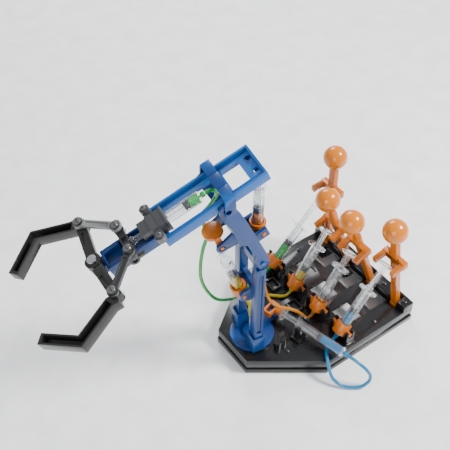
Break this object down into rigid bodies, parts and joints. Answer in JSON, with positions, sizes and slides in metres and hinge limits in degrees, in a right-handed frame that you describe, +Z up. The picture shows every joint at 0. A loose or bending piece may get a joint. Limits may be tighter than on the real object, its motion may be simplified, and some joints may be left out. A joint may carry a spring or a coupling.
{
  "type": "toy hydraulic robot arm",
  "caption": "Desk-top toy arm on a flat base, worked by hand levers whose syringes push water through hoses to swivel, lift, bend and grip.",
  "frame": {"origin": "where the arm's swivel axis meets the surface that the base stands on", "axes": "+X from the levers towards the gripper, +Y to the left, +Z up"},
  "size_m": [0.3671, 0.2036, 0.2541],
  "materials": {
    "base_plastic": "glossy moulded near-black plastic",
    "arm_plastic": "glossy moulded blue plastic",
    "trim_plastic": "glossy moulded orange plastic",
    "gripper_plastic": "satin grey plastic",
    "steel": "zinc-plated steel",
    "clear_plastic": "clear polypropylene",
    "hose_green": "clear vinyl hose full of green water",
    "hose_yellow": "clear vinyl hose full of yellow water",
    "hose_amber": "clear vinyl hose full of amber water",
    "hose_blue": "clear vinyl hose full of blue water"
  },
  "bodies": {
    "root": {"base_plate": "base_plastic", "lever_rail": "base_plastic", "lever_axle": "steel", "fork_clip_1": "base_plastic", "fork_clip_2": "base_plastic", "fork_clip_3": "base_plastic", "fork_clip_4": "base_plastic", "swivel_stand": "base_plastic", "swivel_barrel": "clear_plastic", "hose_green": "hose_green", "hose_yellow": "hose_yellow", "hose_amber": "hose_amber", "hose_blue": "hose_blue"},
    "turntable": {"turntable": "arm_plastic", "tower": "arm_plastic", "shoulder_pin": "steel"},
    "upper_arm": {"upper_arm": "arm_plastic"},
    "forearm": {"forearm_frame": "arm_plastic", "forearm_bracket": "arm_plastic", "forearm_nose": "arm_plastic", "grip_clamp": "gripper_plastic", "grip_barrel": "clear_plastic", "jaw_pin": "steel"},
    "slider": {"slider": "gripper_plastic", "grip_plunger": "clear_plastic"},
    "link_a": {"link_a": "gripper_plastic"},
    "link_b": {"link_b": "gripper_plastic"},
    "jaw_a": {"jaw_a": "gripper_plastic"},
    "jaw_b": {"jaw_b": "gripper_plastic"},
    "shoulder_cyl": {"shoulder_collar": "trim_plastic", "shoulder_barrel": "clear_plastic"},
    "shoulder_rod": {"shoulder_plunger": "clear_plastic", "shoulder_end_cap": "trim_plastic"},
    "elbow_cyl": {"elbow_collar": "trim_plastic", "elbow_barrel": "clear_plastic"},
    "elbow_rod": {"elbow_plunger": "clear_plastic"},
    "swivel_rod": {"swivel_plunger": "clear_plastic", "swivel_clevis": "trim_plastic"},
    "lever_1": {"lever_1": "trim_plastic", "knob_1": "trim_plastic"},
    "ctl_cyl_1": {"collar_1": "trim_plastic", "barrel_1": "clear_plastic"},
    "ctl_rod_1": {"plunger_1": "clear_plastic"},
    "lever_2": {"lever_2": "trim_plastic", "knob_2": "trim_plastic"},
    "ctl_cyl_2": {"collar_2": "trim_plastic", "barrel_2": "clear_plastic"},
    "ctl_rod_2": {"plunger_2": "clear_plastic"},
    "lever_3": {"lever_3": "trim_plastic", "knob_3": "trim_plastic"},
    "ctl_cyl_3": {"collar_3": "trim_plastic", "barrel_3": "clear_plastic"},
    "ctl_rod_3": {"plunger_3": "clear_plastic"},
    "lever_4": {"lever_4": "trim_plastic", "knob_4": "trim_plastic"},
    "ctl_cyl_4": {"collar_4": "trim_plastic", "barrel_4": "clear_plastic"},
    "ctl_rod_4": {"plunger_4": "clear_plastic"}
  },
  "joints": [
    {"name": "turntable_yaw", "type": "hinge", "parent": "root", "child": "turntable", "pos_m": [0, 0, 0], "axis": [0, 0, 1], "range_deg": [-25, 40], "deforming": ["hose_green", "hose_yellow", "hose_amber", "hose_blue"]},
    {"name": "shoulder", "type": "hinge", "parent": "turntable", "child": "upper_arm", "pos_m": [0.00394, -0.00069, 0.15], "axis": [0.1736, 0.9848, 0], "range_deg": [-6, 32]},
    {"name": "elbow", "type": "hinge", "parent": "upper_arm", "child": "forearm", "pos_m": [0.03772, -0.00665, 0.2298], "axis": [0.1736, 0.9848, 0], "range_deg": [-20, 18]},
    {"name": "grip_slide", "type": "slide", "parent": "forearm", "child": "slider", "axis": [0.9098, -0.1604, -0.3827], "range_m": [-0.009, 0.0165]},
    {"name": "shoulder_syringe", "type": "hinge", "parent": "turntable", "child": "shoulder_cyl", "pos_m": [0.01527, -0.00269, 0.0989], "axis": [0.1736, 0.9848, 0], "range_deg": [-2.58, 13.76]},
    {"name": "shoulder_plunger", "type": "slide", "parent": "shoulder_cyl", "child": "shoulder_rod", "axis": [0.2799, -0.0494, 0.9588], "range_m": [-0.01664, 0.00312]},
    {"name": "elbow_syringe", "type": "hinge", "parent": "upper_arm", "child": "elbow_cyl", "pos_m": [-0.00148, 0.00026, 0.175], "axis": [0.1736, 0.9848, 0], "range_deg": [-2.2, 1.98]},
    {"name": "elbow_plunger", "type": "slide", "parent": "elbow_cyl", "child": "elbow_rod", "axis": [0.0031, -0.0005, 1], "range_m": [-0.0137, 0.01233]},
    {"name": "swivel_plunger", "type": "slide", "parent": "root", "child": "swivel_rod", "axis": [0.2351, -0.972, 0], "range_m": [-0.01315, 0.02104]},
    {"name": "jaw_a", "type": "hinge", "parent": "forearm", "child": "jaw_a", "pos_m": [0.1423, -0.02509, 0.19718], "axis": [0.3769, -0.0665, 0.9239], "range_deg": [-23.6, 12.87]},
    {"name": "jaw_b", "type": "hinge", "parent": "forearm", "child": "jaw_b", "pos_m": [0.1423, -0.02509, 0.19718], "axis": [0.3769, -0.0665, 0.9239], "range_deg": [-12.87, 23.6]},
    {"name": "link_a", "type": "hinge", "parent": "jaw_a", "child": "link_a", "pos_m": [0.14759, 0.01459, 0.20383], "axis": [0.3769, -0.0665, 0.9239], "range_deg": [-12.87, 23.6]},
    {"name": "link_b", "type": "hinge", "parent": "jaw_b", "child": "link_b", "pos_m": [0.1337, -0.06419, 0.20383], "axis": [0.3769, -0.0665, 0.9239], "range_deg": [-23.6, 12.87]},
    {"name": "lever_1", "type": "hinge", "parent": "root", "child": "lever_1", "pos_m": [-0.147, -0.054, 0.0145], "axis": [0, 1, 0], "range_deg": [-7.43, 13.63]},
    {"name": "control_syringe_1", "type": "hinge", "parent": "root", "child": "ctl_cyl_1", "pos_m": [-0.0706, -0.054, 0.0325], "axis": [0, 1, 0], "range_deg": [-4.28, 7.84]},
    {"name": "control_plunger_1", "type": "slide", "parent": "ctl_cyl_1", "child": "ctl_rod_1", "axis": [-0.6784, 0, 0.7347], "range_m": [-0.01649, 0.009]},
    {"name": "lever_2", "type": "hinge", "parent": "root", "child": "lever_2", "pos_m": [-0.147, -0.018, 0.0145], "axis": [0, 1, 0], "range_deg": [-13.06, 2.45]},
    {"name": "control_syringe_2", "type": "hinge", "parent": "root", "child": "ctl_cyl_2", "pos_m": [-0.0706, -0.018, 0.0325], "axis": [0, 1, 0], "range_deg": [-7.9, 1.48]},
    {"name": "control_plunger_2", "type": "slide", "parent": "ctl_cyl_2", "child": "ctl_rod_2", "axis": [-0.527, 0, 0.8499], "range_m": [-0.00312, 0.01665]},
    {"name": "lever_3", "type": "hinge", "parent": "root", "child": "lever_3", "pos_m": [-0.147, 0.018, 0.0145], "axis": [0, 1, 0], "range_deg": [-10.58, 9.52]},
    {"name": "control_syringe_3", "type": "hinge", "parent": "root", "child": "ctl_cyl_3", "pos_m": [-0.0706, 0.018, 0.0325], "axis": [0, 1, 0], "range_deg": [-6.61, 5.95]},
    {"name": "control_plunger_3", "type": "slide", "parent": "ctl_cyl_3", "child": "ctl_rod_3", "axis": [-0.5224, 0, 0.8527], "range_m": [-0.01233, 0.0137]},
    {"name": "lever_4", "type": "hinge", "parent": "root", "child": "lever_4", "pos_m": [-0.147, 0.054, 0.0145], "axis": [0, 1, 0], "range_deg": [-10.4, 16.64]},
    {"name": "control_syringe_4", "type": "hinge", "parent": "root", "child": "ctl_cyl_4", "pos_m": [-0.0706, 0.054, 0.0325], "axis": [0, 1, 0], "range_deg": [-6.24, 9.98]},
    {"name": "control_plunger_4", "type": "slide", "parent": "ctl_cyl_4", "child": "ctl_rod_4", "axis": [-0.6051, 0, 0.7961], "range_m": [-0.02105, 0.01316]}
  ],
  "couplings": [
    {"joint": "shoulder_syringe", "follows": "shoulder", "ratio": 0.43},
    {"joint": "shoulder_plunger", "follows": "shoulder", "m_per_rad": -0.029794},
    {"joint": "elbow_syringe", "follows": "elbow", "ratio": 0.11},
    {"joint": "elbow_plunger", "follows": "elbow", "m_per_rad": 0.039248},
    {"joint": "swivel_plunger", "follows": "turntable_yaw", "m_per_rad": 0.030138},
    {"joint": "jaw_a", "follows": "grip_slide", "rad_per_m": -24.958},
    {"joint": "jaw_b", "follows": "grip_slide", "rad_per_m": 24.958},
    {"joint": "link_a", "follows": "grip_slide", "rad_per_m": 24.958},
    {"joint": "link_b", "follows": "grip_slide", "rad_per_m": -24.958},
    {"joint": "lever_1", "follows": "grip_slide", "rad_per_m": 14.416},
    {"joint": "control_syringe_1", "follows": "grip_slide", "rad_per_m": 8.2894},
    {"joint": "control_plunger_1", "follows": "grip_slide", "ratio": -0.99946},
    {"joint": "lever_2", "follows": "shoulder", "ratio": -0.408},
    {"joint": "control_syringe_2", "follows": "shoulder", "ratio": -0.24684},
    {"joint": "control_plunger_2", "follows": "shoulder", "m_per_rad": 0.029805},
    {"joint": "lever_3", "follows": "elbow", "ratio": 0.529},
    {"joint": "control_syringe_3", "follows": "elbow", "ratio": 0.33063},
    {"joint": "control_plunger_3", "follows": "elbow", "m_per_rad": -0.039251},
    {"joint": "lever_4", "follows": "turntable_yaw", "ratio": 0.416},
    {"joint": "control_syringe_4", "follows": "turntable_yaw", "ratio": 0.2496},
    {"joint": "control_plunger_4", "follows": "turntable_yaw", "m_per_rad": -0.030151}
  ]
}
